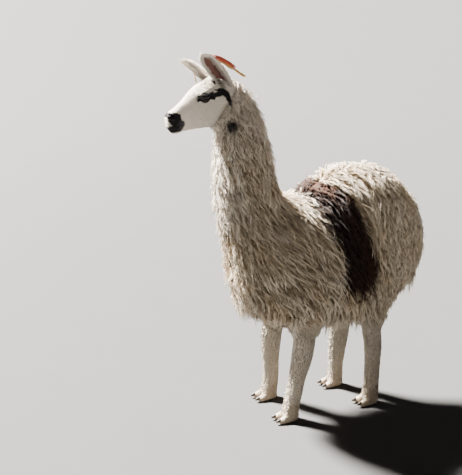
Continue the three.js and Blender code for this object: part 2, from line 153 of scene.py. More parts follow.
# The saddle band: its front and back edge along the body at each height, and where it ends below.
BAND_HEIGHT = (0.600, 0.645, 0.700, 0.790, 0.880, 0.970, 1.065, 1.115, 1.140, 1.160, 1.180)
BAND_FRONT = (-0.075, -0.012, -0.001, 0.015, 0.045, 0.078, 0.105, 0.110, 0.108, 0.106, 0.104)
BAND_BACK = (-0.110, -0.165, -0.193, -0.175, -0.136, -0.110, -0.075, -0.047, 0.000, 0.055, 0.110)
BAND_FOOT = (0.600, 0.640)
BAND_SOFT = 0.006
RUSSET_RISE = (1.085, 1.130)

# Strokes of dark hair on the head, as places with a radius each, and how soft their edges are.
STRIPE = ((0.598, 0.074, 1.577, 0.0085), (0.573, 0.073, 1.585, 0.0120), (0.548, 0.070, 1.593, 0.0150),
          (0.532, 0.075, 1.583, 0.0130), (0.522, 0.080, 1.561, 0.0105), (0.514, 0.083, 1.538, 0.0070),
          (0.508, 0.084, 1.520, 0.0020))
BROW_TIP = ((0.588, 0.069, 1.602, 0.001), (0.560, 0.067, 1.600, 0.010))
EAR_FOOT = ((0.553, 0.039, 1.646, 0.007), (0.550, 0.054, 1.628, 0.012), (0.543, 0.063, 1.606, 0.014))
SPOT = ((0.584, 0.036, 1.641, 0.003), (0.581, 0.044, 1.635, 0.0065), (0.579, 0.052, 1.628, 0.004))
NOSE_PAD = ((0.7730, 0.018, 1.4940, 0.0145), (0.7580, 0.024, 1.4950, 0.0160),
            (0.7430, 0.032, 1.4900, 0.0150))
LIPS = ((0.7740, 0.022, 1.4740, 0.0100), (0.7560, 0.034, 1.4660, 0.0190), (0.7310, 0.033, 1.4590, 0.0205),
        (0.7350, 0.020, 1.4440, 0.0200), (0.7620, 0.010, 1.4390, 0.0200))
STRIPE_EDGE = (-0.0012, 0.0022)
SPOT_EDGE = (-0.0010, 0.0020)
EAR_FOOT_EDGE = (-0.004, 0.006)
PAD_EDGE = (-0.0010, 0.0025)
LIPS_EDGE = (-0.004, 0.005)
LIP_FRONT = (0.7800, 0.7850)
THROAT_SPOT = np.array([0.510, 0.082, 1.439])
THROAT_SPOT_EDGE = (0.023, 0.034)
RIM_HALF = (0.0400, 0.0160)

# The depth of the coat, and the measures of its locks, each on the flank, the rump and the neck.
COAT_DEPTH = (0.034, 0.023, 0.027)
TAIL_DEPTH = 0.014
FACE_DEPTH = 0.0015
LEG_DEPTH = ((0.03, 0.10, 0.25, 0.42), (0.0015, 0.0035, 0.0050, 0.0100))
LOCK_SWIRL = (0.20, 0.50, 0.24)
LOCK_WAVE = (0.0074, 0.0045, 0.0064)
LOCK_WAVELENGTH = (0.074, 0.042, 0.062)
LOCK_RADIUS = (0.0120, 0.0085, 0.0095)
LOCK_HAIR_WIDTH = (0.0039, 0.0031, 0.0033)
FLANK_LENGTH = 0.155
RUMP_LENGTH = 0.056
NECK_LENGTH = ((1.00, 1.20, 1.38, 1.50), (0.125, 0.110, 0.080, 0.050))
TAIL_LENGTH = 0.11
CHEEK_LENGTH = 0.018
SWEEP = ((-0.45, -0.25, -0.10, 0.10, 0.25, 0.36), (0.05, 0.22, 0.50, 0.72, 0.80, 0.55))

# How many locks there are, the hairs in each and the rings along a hair, and how many shorter hairs.
TRUNK_LOCKS = (1900, 5, 7)
NECK_LOCKS = (1800, 6, 5)
RUMP_LOCKS = (2400, 6, 4)
UNDERCOAT_HAIRS = 11500
FACE_HAIRS = 13500
LEG_HAIRS = 16000
EAR_HAIRS = 2100
EAR_FRINGE_HAIRS = 1150
LASHES = 46

# Painted shade and light along the hair from root to tip, in red, green and blue, and how wide a strand is
# along it.
# Roots darkened as painted shade between the locks and tips lifted as painted light; the yellower roots are
# the wool's own.
ROOT_SHADE_TO_TIP = ((0.38, 0.70, 1.06, 1.22), (0.32, 0.64, 1.03, 1.21), (0.24, 0.55, 0.98, 1.20))
UNDER_SHADE_TO_TIP = ((0.55, 0.75, 0.90, 0.95), (0.49, 0.70, 0.86, 0.93), (0.40, 0.61, 0.80, 0.89))
SHORT_SHADE_TO_TIP = ((0.92, 0.96, 1.02, 1.06), (0.90, 0.95, 1.02, 1.06), (0.87, 0.93, 1.01, 1.06))
LONG_TAPER = (0.75, 0.95, 1.0, 0.95, 0.85, 0.65, 0.40)
SHORT_STEPS = np.linspace(0, 1, 4)[None, :, None]
PATCH = 0.003

# Yarn in the ears: where each tuft starts and ends, its radius, its number of yarns, its colour and its sag.
YARNS = {
    "tassel_left_wool": ((0.605, 0.090, 1.747), (0.502, 0.100, 1.690), 0.0115, 100, "red", 0.006),
    "tassel_left_end": ((0.512, 0.100, 1.695), (0.453, 0.100, 1.656), 0.0050, 22, "yellow", -0.003),
    "tassel_right": ((0.611, -0.107, 1.671), (0.606, -0.094, 1.616), 0.0026, 9, "yellow", -0.003),
}
YARN_WIDTH = 0.0028
YARN_POINTS = 8

FLOOR_FLAT = 9.0
FLOOR_EDGE = 70.0
FLOOR_RISE = 11.0
FLOOR_RINGS = 24
FLOOR_POINTS = 96
KEY_PLACE = (1.32, -2.24, 3.04)
STRIP_PLACE = (0.78, 3.45, 3.68)
STRIP_TARGET = (0.55, 0.0, 1.30)
CAMERA_PLACE = (2.019, 3.496, 1.993)
CAMERA_WAY = (-0.388, -0.881, -0.271)
CAMERA_LENS = 67.1

rng = np.random.default_rng(7)


# --- small helpers

def ease(low, high, x):
    """A smooth step from 0 at low to 1 at high."""
    t = np.clip((x - low) / (high - low), 0, 1)
    return t * t * (3 - 2 * t)


def mix(a, b, t):
    return a + (b - a) * t


def fade(a, b, t):
    """Goes from one colour or place to another, by a share for each row."""
    return a + (b - a) * t[:, None]


def unit(v):
    v = np.asarray(v, float)
    return v / np.maximum(np.linalg.norm(v, axis=-1, keepdims=True), 1e-9)


def dot(a, b):
    return (a * b).sum(-1)


def ripple(q, size, seed):
    """Smooth noise between about -1 and 1 with features of that size."""
    waves = np.random.default_rng(seed)
    total = np.zeros(len(q))
    for _ in range(6):
        direction = unit(waves.normal(size=3)) * 2 * math.pi / (size * waves.uniform(0.7, 1.6))
        total += np.sin(q @ direction + waves.uniform(0, 2 * math.pi))
    return total / 3


def mirrored(q):
    """The same places on the left side."""
    return q * [1, 0, 1] + np.abs(q) * [0, 1, 0]


def off_line(q, points, flat=(1, 1, 1)):
    """Distance from each place to a broken line, or to the edge of one whose points have a radius."""
    best = np.full(len(q), 9.0)
    for a, b in zip(points, points[1:]):
        start = np.array(a[:3]) * flat
        edge = np.array(b[:3]) * flat - start
        t = np.clip((q * flat - start) @ edge / (edge @ edge), 0, 1)
        away = np.linalg.norm(q * flat - start - t[:, None] * edge, axis=1)
        best = np.minimum(best, away - mix(a[3], b[3], t) if len(a) > 3 else away)
    return best


def in_stroke(q, points, edge, rag):
    """1 inside a stroke on the side of the head and 0 outside it, with a soft and ragged edge."""
    return 1 - ease(*edge, off_line(q, points, (1, 0.3, 1)) + rag)


# --- regions of the body

def past_throat(q):
    """How far a place is towards the nose from the plane of the throat."""
    return (q - THROAT) @ THROAT_NORMAL


def face_share(q):
    return ease(*FACE_EDGE, past_throat(q)) * ease(*FACE_RISE, q[:, 2])


def leg_share(q):
    return 1 - ease(HEM + 0.005, SHANK_TOP, q[:, 2])


def shank_share(q):
    """How much of a place belongs to a leg, up to the elbow or the knee inside the fringe of the coat."""
    down = np.clip((LEG_LINE_TOP - q[:, 2]) / LEG_LINE_DROP, 0, 1)
    near = np.full(len(q), 9.0)
    for high, low, side in LEG_LINES:
        near = np.minimum(near, np.hypot(q[:, 0] - mix(high, low, down), q[:, 1] - side * LEG_OFF))
    top = np.where(q[:, 0] > 0, ELBOW, KNEE)
    limb = (1 - ease(*LEG_REACH, near)) * (1 - ease(top - 0.06, top, q[:, 2]))
    return np.maximum(limb, leg_share(q))


def fringe(q):
    """The height that the lowest locks reach down to."""
    return np.interp(q[:, 0], FRINGE_X, FRINGE_Z) + 0.016 * ripple(q * [1, 1, 0], 0.06, 71)


def neck_share(q):
    return ease(*NECK_EDGE, q[:, 0]) * ease(*NECK_RISE, q[:, 2])


def upper_share(q):
    """How far up the neck a place is, towards the paler and finer hair behind the head."""
    return ease(*NAPE_RISE, q[:, 2])


def rump_share(q):
    return 1 - ease(*RUMP_EDGE, q[:, 0])


def tail_share(q):
    return 1 - ease(*TAIL_EDGE, q[:, 0])


def by_region(q, values):
    """A measure of the coat at each place, from its values on the flank, the rump and the neck."""
    flank, rump, neck = values
    return mix(mix(flank, rump, rump_share(q)), neck, neck_share(q))


def coat_depth(q):
    """How far the skin lies inside the outline of the coat."""
    depth = by_region(q, COAT_DEPTH)
    depth = mix(depth, TAIL_DEPTH, tail_share(q))
    depth = mix(depth, FACE_DEPTH, face_share(q))
    return mix(depth, np.interp(q[:, 2], *LEG_DEPTH), shank_share(q))


# --- markings

def in_band(q):
    """How much of a place is inside the saddle band, on either side."""
    rag = 0.012 * ripple(q, 0.035, 11) + 0.006 * ripple(q, 0.014, 12)
    front = np.interp(q[:, 2], BAND_HEIGHT, BAND_FRONT) + rag
    back = np.interp(q[:, 2], BAND_HEIGHT, BAND_BACK) + 0.012 * ripple(q, 0.040, 13)
    inside = ease(-BAND_SOFT, BAND_SOFT, front - q[:, 0]) * ease(-BAND_SOFT, BAND_SOFT, q[:, 0] - back)
    return inside * ease(*BAND_FOOT, q[:, 2] + 1.4 * rag)


def eye_rim(m):
    """How much of a place is in the black that runs along the eye and close round its lids."""
    line = unit(LID_LINE)
    along = (m - EYE) @ line
    rise = (m - EYE)[:, 2] - along * line[2]
    oval = (np.abs(along + 0.003) / RIM_HALF[0]) ** 1.7 + (np.abs(rise) / RIM_HALF[1]) ** 1.7
    rim = (1 - ease(0.93, 1.07, oval)) * ease(0.045, 0.055, m[:, 1])
    turn, climb, reach = eye_angles(m)
    close = (1 - ease(1.62, 1.80, lid_measure(turn, climb))) * (np.abs(turn) < 1.5) * (reach < 0.045)
    return np.maximum(rim, close)


def face_marks(q):
    """How black a place on the head is: round the eye, its stripe, the spots and the throat."""
    m = mirrored(q)
    rag = 0.0018 * ripple(q, 0.012, 21) + 0.0010 * ripple(q, 0.005, 24)
    stripe = in_stroke(m, STRIPE, STRIPE_EDGE, rag)
    brow = in_stroke(m, BROW_TIP, STRIPE_EDGE, rag)
    spot = in_stroke(m, SPOT, SPOT_EDGE, rag)
    mottle = 0.72 + 0.42 * ripple(q, 0.008, 25)
    ear_foot = np.clip(mottle * in_stroke(m, EAR_FOOT, EAR_FOOT_EDGE, 3 * rag), 0, 1)
    throat = 0.98 * (1 - ease(*THROAT_SPOT_EDGE, np.linalg.norm(m - THROAT_SPOT, axis=1) + 2 * rag))
    return np.max([eye_rim(m), stripe, brow, spot, ear_foot, throat], axis=0) * ease(1.36, 1.39, q[:, 2])


def muzzle_marks(q):
    """The black nose pad, and the slate lips behind the pale front of the mouth."""
    m = mirrored(q)
    rag = 0.0015 * ripple(q, 0.010, 22)
    pad = in_stroke(m, NOSE_PAD, PAD_EDGE, rag)
    lips = in_stroke(m, LIPS, LIPS_EDGE, 1.3 * rag)
    return pad, lips * (1 - ease(*LIP_FRONT, m[:, 0] + rag))


def hair_tone(q):
    """The colour of the hair at each place, apart from the marks of the head, with painted shade low on the
    legs.
    """
    height = q[:, 2]
    tone = fade(CREAM, WHITE, 0.15 + 0.5 * (0.5 + 0.5 * ripple(q, 0.16, 31)))
    tone = fade(tone, WHITE, np.maximum(0.6 * face_share(q), 0.65 * upper_share(q)))
    # Painted shade: the legs greyer from below the body down.
    tone = fade(tone, LEG_PAINTED_SHADE, 0.7 * (1 - ease(0.35, 0.55, height)))
    tone = fade(tone, DUST, 0.6 * (1 - ease(0.04, 0.12, height + 0.02 * ripple(q, 0.04, 33))))
    russet = ease(*RUSSET_RISE, height + 0.012 * ripple(q, 0.03, 32))
    rear = q[:, 0] - np.interp(height, BAND_HEIGHT, BAND_BACK)
    russet = np.maximum(russet, 0.32 * (1 - ease(0.02, 0.11, rear)))
    return fade(tone, fade(UMBER, RUSSET, russet), in_band(q))


def marked(tone, q):
    """The same with the dark marks of the head painted over it."""
    pad, lips = muzzle_marks(q)
    slate = fade(BLACK, SLATE, ease(0.745, 0.715, q[:, 0] + 0.008 * ripple(q, 0.012, 23)))
    return fade(fade(tone, slate, lips), BLACK, np.maximum(face_marks(q), pad))


def markings(q):
    return marked(hair_tone(q), q)


def ear_frame(name):
    """The root and tip of an ear, the ways along it and out of its hollow, and the way across."""
    root, tip, mouth = (np.array(v) for v in EARS[name])
    axis = unit(tip - root)
    mouth = unit(mouth - axis * (mouth @ axis))
    return root, tip, axis, mouth, np.cross(axis, mouth)


def ear_spread(q, name):
    """How far along an ear each place is, and how far across it, in half widths."""
    root, tip, axis, _, across = ear_frame(name)
    s = (q - root) @ axis / np.linalg.norm(tip - root)
    return s, (q - root) @ across / (EAR_HALF_WIDTH * np.interp(s, *EAR_SHAPE))


def ear_colour(q, normals, name):
    """White rims and backs, the backs greyed towards the root by painted shade, with brown, grey or pink
    inside the hollow.
    """
    s, u = ear_spread(q, name)
    width = np.abs(u) + 0.10 * ripple(q, 0.012, 43)
    inside = ease(0.10, 0.35, normals @ ear_frame(name)[3]) * (1 - ease(0.62, 0.80, width))
    inside = inside * (1 - ease(0.80, 0.90, s + 0.03 * ripple(q, 0.02, 41)))
    mottle = ripple(q, 0.010, 42)
    if name == "ear_left":
        lining = fade(EAR_DEEP, EAR_BROWN, ease(0.05, 0.45, s + 0.10 * mottle))
        lining = fade(lining, EAR_GREY, 0.95 * ease(-0.05, 0.35, u + 0.20 * mottle))
        streak = 0.8 * np.exp(-((u + 0.02 + 0.08 * mottle) / 0.13) ** 2) * ease(0.75, 0.55, s)
        lining = fade(lining, EAR_DEEP, streak)
    else:
        lining = fade(EAR_PINK, EAR_GREY, ease(0.25, 0.7, s + 0.15 * mottle))
    # Painted shade: the back of the ear greyer towards its root.
    back = fade(WHITE * 0.72, WHITE, ease(0.35, 0.75, s))
    return fade(back, lining, inside)


# --- meshes

def make_mesh(name, co, tris, tint, uv=None):
    """A smooth triangle mesh with a colour at each vertex and, if given, a bake map place per corner."""
    mesh = bpy.data.meshes.new(name)
    mesh.vertices.add(len(co))
    mesh.vertices.foreach_set("co", np.asarray(co, np.float32).ravel())
    mesh.loops.add(len(tris) * 3)
    mesh.loops.foreach_set("vertex_index", np.asarray(tris, np.int32).ravel())
    mesh.polygons.add(len(tris))
    mesh.polygons.foreach_set("loop_start", np.arange(0, len(tris) * 3, 3, dtype=np.int32))
    mesh.polygons.foreach_set("use_smooth", np.ones(len(tris), bool))
    mesh.update(calc_edges=True)
    colours = np.ones((len(co), 4), np.float32)
    colours[:, :3] = np.clip(tint, 0, 1)
    mesh.attributes.new("Tint", "FLOAT_COLOR", "POINT").data.foreach_set("color", colours.ravel())
    if uv is not None:
        mesh.uv_layers.new(name="OFBake").data.foreach_set("uv", np.asarray(uv, np.float32).ravel())
    return placed(name, mesh)


def placed(name, mesh):
    """An object of that name in the scene, with that mesh."""
    piece = bpy.data.objects.new(name, mesh)
    bpy.context.scene.collection.objects.link(piece)
    return piece


def dress(piece, material, nodes=()):
    """Gives a piece its material, hangs it on the animal's root and hides the solids that it stands for."""
    piece.data.materials.append(material)
    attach(piece, "root")
    if nodes:
        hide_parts(*nodes)


def arrays_of(mesh):
    """The vertices and triangles of a mesh."""
    mesh.calc_loop_triangles()
    co = np.empty(len(mesh.vertices) * 3)
    mesh.vertices.foreach_get("co", co)
    tris = np.empty(len(mesh.loop_triangles) * 3, np.int32)
    mesh.loop_triangles.foreach_get("vertices", tris)
    return co.reshape(-1, 3), tris.reshape(-1, 3)


def joined(parts):
    """The vertices and triangles of several parts as one mesh's."""
    starts = np.cumsum([0] + [len(co) for co, _ in parts])
    return np.vstack([co for co, _ in parts]), np.vstack([tris + k for (_, tris), k in zip(parts, starts)])


def remeshed(names, voxel):
    """One closed even mesh over some of the solids, on the animal's own axes."""
    co, tris = joined([arrays_of(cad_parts[name].data) for name in names])
    mesh = bpy.data.meshes.new("rough")
    mesh.from_pydata((co - SHIFT).tolist(), [], tris.tolist())
    piece = placed("rough", mesh)
    modifier = piece.modifiers.new("even", "REMESH")
    modifier.mode = "VOXEL"
    modifier.voxel_size = voxel
    result = arrays_of(piece.evaluated_get(bpy.context.evaluated_depsgraph_get()).to_mesh())
    bpy.data.objects.remove(piece)
    bpy.data.meshes.remove(mesh)
    return result


def edges_of(tris):
    pairs = np.sort(np.vstack([tris[:, [0, 1]], tris[:, [1, 2]], tris[:, [2, 0]]]), axis=1)
    return np.unique(pairs, axis=0)


def relaxed(co, tris, rounds):
    """Evens out the facets of a mesh without shrinking it."""
    a, b = edges_of(tris).T
    count = len(co)
    degree = (np.bincount(a, minlength=count) + np.bincount(b, minlength=count))[:, None]
    co = co.copy()
    for _ in range(rounds):
        for weight in (0.50, -0.52):
            total = np.stack([np.bincount(a, co[b, k], count) + np.bincount(b, co[a, k], count)
                              for k in range(3)], axis=1)
            co += weight * (total / degree - co)
    return co


def vertex_normals(co, tris):
    corner = co[tris]
    face = np.cross(corner[:, 1] - corner[:, 0], corner[:, 2] - corner[:, 0])
    corners = tris.ravel()
    total = np.stack([np.bincount(corners, np.repeat(face[:, k], 3), len(co)) for k in range(3)], axis=1)
    return unit(total)


def ring_quads(rows, around):
    """The four-sided faces between rings of points, one row after another."""
    a = np.arange(rows * around)
    b = a - a % around + (a + 1) % around
    return np.stack([a, a + around, b + around, b], axis=1)


# --- skin

def eye_frame():
    """The way the left eye looks, the line from its inner corner to its outer one, and the way up."""
    axis = unit(EYE_AXIS)
    line = unit(np.array(LID_LINE) - axis * (np.array(LID_LINE) @ axis))
    up = np.cross(line, axis)
    return axis, line, up if up[2] > 0 else -up


def eye_angles(m):
    """Each place's bearing from the middle of the left eye, along and across the lids, and its distance."""
    axis, line, up = eye_frame()
    away = m - EYE
    reach = np.linalg.norm(away, axis=1)
    away = away / reach[:, None]
    return np.arctan2(away @ line, away @ axis), np.arcsin(np.clip(away @ up, -1, 1)), reach


def lid_measure(along, across):
    """1 on the edge of the lids, less inside the opening and more outside it."""
    height = np.where(across > 0, LID_UP, LID_DOWN)
    return np.sqrt((along / LID_HALF_WIDTH) ** 2 + (across / height) ** 2)


def open_eyes(co):
    """Sinks the skin behind the eyeball inside the lids, and lays it over the ball outside them."""
    m = mirrored(co)
    along, across, reach = eye_angles(m)
    near = (reach < 0.055) & (np.abs(along) < 1.7)
    over, under = np.maximum(reach, EYE_RADIUS + 0.0028), EYE_RADIUS - 0.005
    wanted = mix(under, over, ease(1.25, 1.42, lid_measure(along, across)))
    wanted = mix(wanted, reach, ease(0.040, 0.055, reach))
    moved = EYE + (m - EYE) * (wanted / reach)[:, None]
    moved[:, 1] *= np.where(co[:, 1] < 0, -1, 1)
    return np.where(near[:, None], moved, co)


def groove(away, deep, wide):
    """A rounded groove along a line, from the distance to it."""
    return deep * np.exp(-(away / wide) ** 2)


def carve_face(co, normals):
    """The nostrils with their wings, the line of the mouth, the cleft lip and the folds round the eye."""
    m = mirrored(co)
    nostril = off_line(m, NOSTRIL)
    depth = groove(nostril, 0.0095, 0.0036) - groove(nostril - 0.0095, 0.0016, 0.004)
    depth += groove(off_line(m, MOUTH), 0.0042, 0.0030)
    depth += groove(off_line(m, CLEFT), 0.0034, 0.0028)
    along, across, reach = eye_angles(m)
    close = (reach < 0.05) & (np.abs(along) < 1.6)
    fold = groove(lid_measure(along, across) - 2.05, 1, 0.16) * ease(0.1, 0.35, across)
    depth += np.where(close, 0.0014 * fold, 0)
    return co - normals * depth[:, None]


def skin_part(names, kind):
    """Some of the solids as one even mesh without facets."""
    voxel, rounds = GRAIN[kind]
    co, tris = remeshed(names, voxel)
    return relaxed(co, tris, rounds), tris


def sink(co, tris, extra=0.0, steps=1):
    """Moves a surface inwards by the depth of the coat, but not off the ground, evened out between steps."""
    depth = (coat_depth(co) + extra) * ease(0.001, 0.006, co[:, 2])
    for _ in range(steps):
        co = co - vertex_normals(co, tris) * depth[:, None] / steps
        if steps > 1:
            co = relaxed(co, tris, 2)
    return co


def body_skin():
    """Trunk, neck and tail, a little deeper where the finer skin of head and legs lies over them."""
    co, tris = skin_part(BODY_NODES, "body")
    hidden = 0.007 * ease(0.0, 0.045, past_throat(co)) * ease(*FACE_RISE, co[:, 2])
    hidden += 0.006 * (1 - ease(0.340, 0.378, co[:, 2]))
    return sink(co, tris, hidden, 4), tris


def head_skin():
    co, tris = skin_part(["head"], "head")
    co = sink(co, tris)
    co = carve_face(co, vertex_normals(co, tris))
    return open_eyes(co), tris


def leg_skin():
    co, tris = skin_part(LEG_NODES, "legs")
    co[:, 2] = np.maximum(co[:, 2], 0.0)
    return sink(co, tris), tris


def lid_edge(turn, scale, height):
    """Places round the opening of the left eye, on a ring of that scale and at that height off the ball."""
    axis, line, up = eye_frame()
    along = LID_HALF_WIDTH * np.cos(turn) * (0.35 + 0.65 * scale)
    tall = np.where(np.sin(turn) > 0, LID_UP, LID_DOWN)
    across = tall * np.sign(np.sin(turn)) * np.abs(np.sin(turn)) ** 1.15 * scale
    way = (np.cos(across) * np.cos(along))[:, None] * axis
    way = way + (np.cos(across) * np.sin(along))[:, None] * line + np.sin(across)[:, None] * up
    return EYE + way * (EYE_RADIUS + height)


def lids(side):
    """A ring of skin round the opening of one eye: its margin on the ball, its back under the face."""
    turn = np.linspace(0, 2 * math.pi, LID_POINTS, endpoint=False)
    co = np.vstack([lid_edge(turn, scale, height) for scale, height in LID_PROFILE])
    co[:, 1] *= side
    tris = ring_quads(len(LID_PROFILE) - 1, LID_POINTS)[:, [0, 3, 2, 0, 2, 1]].reshape(-1, 3)
    return co, tris if side < 0 else tris[:, ::-1]


def skin_colour(label, co, tris):
    """The markings, with painted shade darkening the skin under the fleece, and colours of their own for
    ears and lids.
    """
    if label in EARS:
        return ear_colour(co, vertex_normals(co, tris), label)
    if label.startswith("lids"):
        return np.tile(BLACK, (len(co), 1))
    tint = markings(co)
    bare = np.maximum(face_share(co), ease(0.0, 0.4, shank_share(co)))
    # Painted shade between the locks, where the fleece covers the skin.
    return fade(tint * HIDE_PAINTED_SHADE, tint, bare)


def make_skin(material):
    """Joins the parts of the skin into one mesh, and returns it as the ground that the coat grows from."""
    parts = {"body": body_skin(), "head": head_skin(), "legs": leg_skin()}
    parts.update({name: skin_part([name], "ear") for name in EAR_NODES})
    parts.update({"lids_left": lids(1), "lids_right": lids(-1)})
    tint = np.vstack([skin_colour(label, *part) for label, part in parts.items()])
    zones = np.repeat(list(parts), [len(tris) for _, tris in parts.values()])
    co, tris = joined(list(parts.values()))
    skin = make_mesh("skin", co + SHIFT, tris, tint)
    uv = unwrap(skin)
    dress(skin, material, BODY_NODES + FOOT_NODES + EAR_NODES)
    return Ground(co, tris, zones, uv)


def unwrap(skin):
    """Unfolds the skin onto the bake map and returns the place of each corner."""
    bpy.context.view_layer.objects.active = skin
    skin.select_set(True)
    skin.data.uv_layers.new(name="OFBake")
    bpy.ops.object.mode_set(mode="EDIT")
    bpy.ops.mesh.select_all(action="SELECT")
    bpy.ops.uv.smart_project(angle_limit=math.radians(66), island_margin=0.002)
    bpy.ops.object.mode_set(mode="OBJECT")
    skin.select_set(False)
    uv = np.empty(len(skin.data.loops) * 2, np.float32)
    skin.data.uv_layers["OFBake"].data.foreach_get("uv", uv)
    return uv.reshape(-1, 3, 2)


# --- coat

class Ground:
    """The skin that hair grows from: places to root it, and the nearest surface to comb it over."""

    def __init__(self, co, tris, zones, uv):
        self.co, self.tris, self.zones, self.uv = co, tris, zones, uv
        self.normals = vertex_normals(co, tris)
        self.tree = BVHTree.FromPolygons(co.tolist(), tris.tolist())
        corner = co[tris]
        across = np.cross(corner[:, 1] - corner[:, 0], corner[:, 2] - corner[:, 0])
        self.area = np.linalg.norm(across, axis=1) / 2
        self.middle = corner.mean(axis=1)
        self.face_normal = unit(self.normals[tris].mean(axis=1))

    def roots(self, count, weight):
        """Random places spread over the skin in proportion to the weight of each face."""
        share = np.cumsum(self.area * weight)
        pick = (np.arange(count) + rng.random(count)) / count * share[-1]
        face = np.minimum(np.searchsorted(share, pick), len(share) - 1)
        a, b = np.sqrt(rng.random(count)), rng.random(count)
        bary = np.stack([1 - a, a * (1 - b), a * b], axis=1)[:, :, None]
        return ((self.co[self.tris[face]] * bary).sum(1),
                unit((self.normals[self.tris[face]] * bary).sum(1)),
                (self.uv[face] * bary).sum(1))

    def nearest(self, q):
        found = [self.tree.find_nearest(p)[:2] for p in q.tolist()]
        return np.array([f[0] for f in found]), np.array([f[1] for f in found])


def lie(q, normals):
    """The way the hair lies at each place: down and back on the body, back over the face, down the legs."""
    sweep = mix(np.interp(q[:, 0], *SWEEP), 0.30, neck_share(q))
    part = np.clip(q[:, 1] / 0.05, -1, 1)
    ones = np.ones(len(q))
    way = np.stack([-sweep, 0.45 * part, -ones], axis=1)
    way = fade(way, np.stack([-ones, 0.30 * part, -0.35 * ones], axis=1), face_share(q))
    way = fade(way, np.array([-0.10, 0.0, -1.0]), leg_share(q))
    flat = way - normals * dot(way, normals)[:, None]
    hang = ease(0.15, 0.55, -normals[:, 2]) * (1 - face_share(q)) * (1 - leg_share(q))
    return unit(fade(unit(flat), np.array([-0.05, 0.0, -1.0]), hang))


def comb(ground, root, normal, length, height, steps, swirl, flow=lie, rise=0.55, flick=0.0):
    """Lays one guide hair from each root over the skin, rising to its height, and returns its points."""
    path, q, n = [root - normal * 0.002], root, normal
    way = flow(q, n)
    for k in range(1, steps + 1):
        ahead = flow(q, n)
        ahead = unit(ahead + np.cross(n, ahead) * swirl[:, None])
        way = unit(way * 0.35 + ahead)
        q = q + way * (length / steps)[:, None]
        near, n = ground.nearest(q)
        wanted = height * min(1.0, (k / steps / rise)) ** 0.8 + flick * max(0.0, k / steps - 0.6) / 0.4
        lift = wanted - dot(q - near, n)
        cling = np.where(n[:, 2] < -0.25, 0.0, 0.55)
        q = q + n * np.where(lift > 0, lift, lift * cling)[:, None]
        path.append(q)
    return np.stack(path, axis=1)


def beside(path):
    """The ways across a hair and out from it, at each of its points."""
    along = unit(np.gradient(path, axis=1))
    across = unit(np.cross(along, UPWARDS) + 1e-4)
    return across, np.cross(across, along)


def strands(path, width, tint, uv, thin=0.5, taper=LONG_TAPER, painter=None, levels=ROOT_SHADE_TO_TIP,
            contrast=1.0):
    """A closed three-sided strand round each path, flat side to the skin, tapering to a point at its end."""
    count, rings = path.shape[0], path.shape[1] - 1
    across, out = beside(path)
    shape = np.interp(np.linspace(0, 1, rings), np.linspace(0, 1, len(taper)), taper)
    spread = width[:, None, None] / 2 * shape[None, :, None]
    co = np.empty((count, rings * 3 + 1, 3))
    for side in range(3):
        angle = 2 * math.pi * side / 3 + 0.4
        co[:, side:rings * 3:3] = (path[:, :rings] + across[:, :rings] * spread * math.cos(angle)
                                   + out[:, :rings] * spread * thin * math.sin(angle))
    co[:, -1] = path[:, -1]
    tris, places = strand_pattern(rings)
    index = (np.arange(count) * (rings * 3 + 1))[:, None, None] + tris[None]
    contrast = np.broadcast_to(contrast, count)[:, None, None]
    colour = tint[:, None, :] * (1 + contrast * (shade_along(rings, levels)[None] - 1))
    if painter is not None:
        colour = painter(co, colour)
    return (co.reshape(-1, 3), index.reshape(-1, 3), colour.reshape(-1, 3),
            (uv[:, None, :] + places[None] * PATCH).reshape(-1, 2))


def shade_along(rings, levels):
    """Painted shade at the root and painted light at the tip, with the wool's own yellower root, per strand
    corner.
    """
    depth = np.append(np.repeat(np.arange(rings) / rings, 3), 1.0)
    return np.stack([np.interp(depth, (0, 0.3, 0.7, 1), level) for level in levels], axis=1)


def strand_pattern(rings):
    """The triangles of one strand, and where its corners lie on its patch of the bake map."""
    tris, places = [], []
    for r in range(rings - 1):
        low, high = r / rings, (r + 1) / rings
        for s in range(3):
            a, b = r * 3 + s, r * 3 + (s + 1) % 3
            left, right = s / 3, (s + 1) / 3
            tris += [(a, b, b + 3), (a, b + 3, a + 3)]
            places += [(left, low), (right, low), (right, high), (left, low), (right, high), (left, high)]
    last = rings * 3 - 3
    neck = (rings - 1) / rings
    for s in range(3):
        tris.append((last + s, last + (s + 1) % 3, rings * 3))
        places += [(s / 3, neck), ((s + 1) / 3, neck), ((s + 0.5) / 3, 1.0)]
    tris.append((2, 1, 0))
    places += [(0.0, 0.0), (0.1, 0.0), (0.05, 0.1)]
    return np.array(tris), np.array(places)


def tufted(path, radius, per_lock, wave, turns):
    """Several hairs round each guide, spread at the root, gathered at the tip and waving together."""
    count, points = path.shape[:2]
    each = (count, 1, 1)
    s = np.linspace(0, 1, points)[None, :, None]
    across, out = beside(path)
    radius, wave, turns = (values[:, None, None] for values in (radius, wave, turns))
    phase = rng.uniform(0, 2 * math.pi, each)
    gather = rng.uniform(0.35, 0.90, each)
    hairs = []
    for _ in range(per_lock):
        angle = rng.uniform(0, 2 * math.pi, each)
        spread = np.sqrt(rng.random(each)) * radius * (1 - gather * s ** 1.1)
        turn = 2 * math.pi * s * turns + phase + rng.normal(0, 0.45, each)
        loose = wave * rng.uniform(0.7, 1.3, each) * np.minimum(1, 2.2 * s)
        hair = path[:, :1] + (path - path[:, :1]) * rng.uniform(0.80, 1.06, each)
        hair = hair + across * (spread * np.cos(angle) + loose * np.sin(turn))
        hairs.append(hair + out * 0.5 * (spread * np.sin(angle) + loose * np.cos(turn)))
    return np.concatenate(hairs, axis=0)


def fleece_region(q):
    """The piece of the coat that a lock belongs to."""
    x, y, z = q.T
    region = np.full(len(q), "coat_flank", "<U20")
    region[x < RUMP_FRONT] = "coat_rump"
    region[x > SHOULDER_BACK] = "coat_shoulder"
    region[(x > NECK_BACK) & (z > NECK_BASE)] = "coat_neck"
    region = np.char.add(region, np.where(y > 0, "_left", "_right"))
    region[x < TAIL_FRONT] = "coat_tail"
    return region


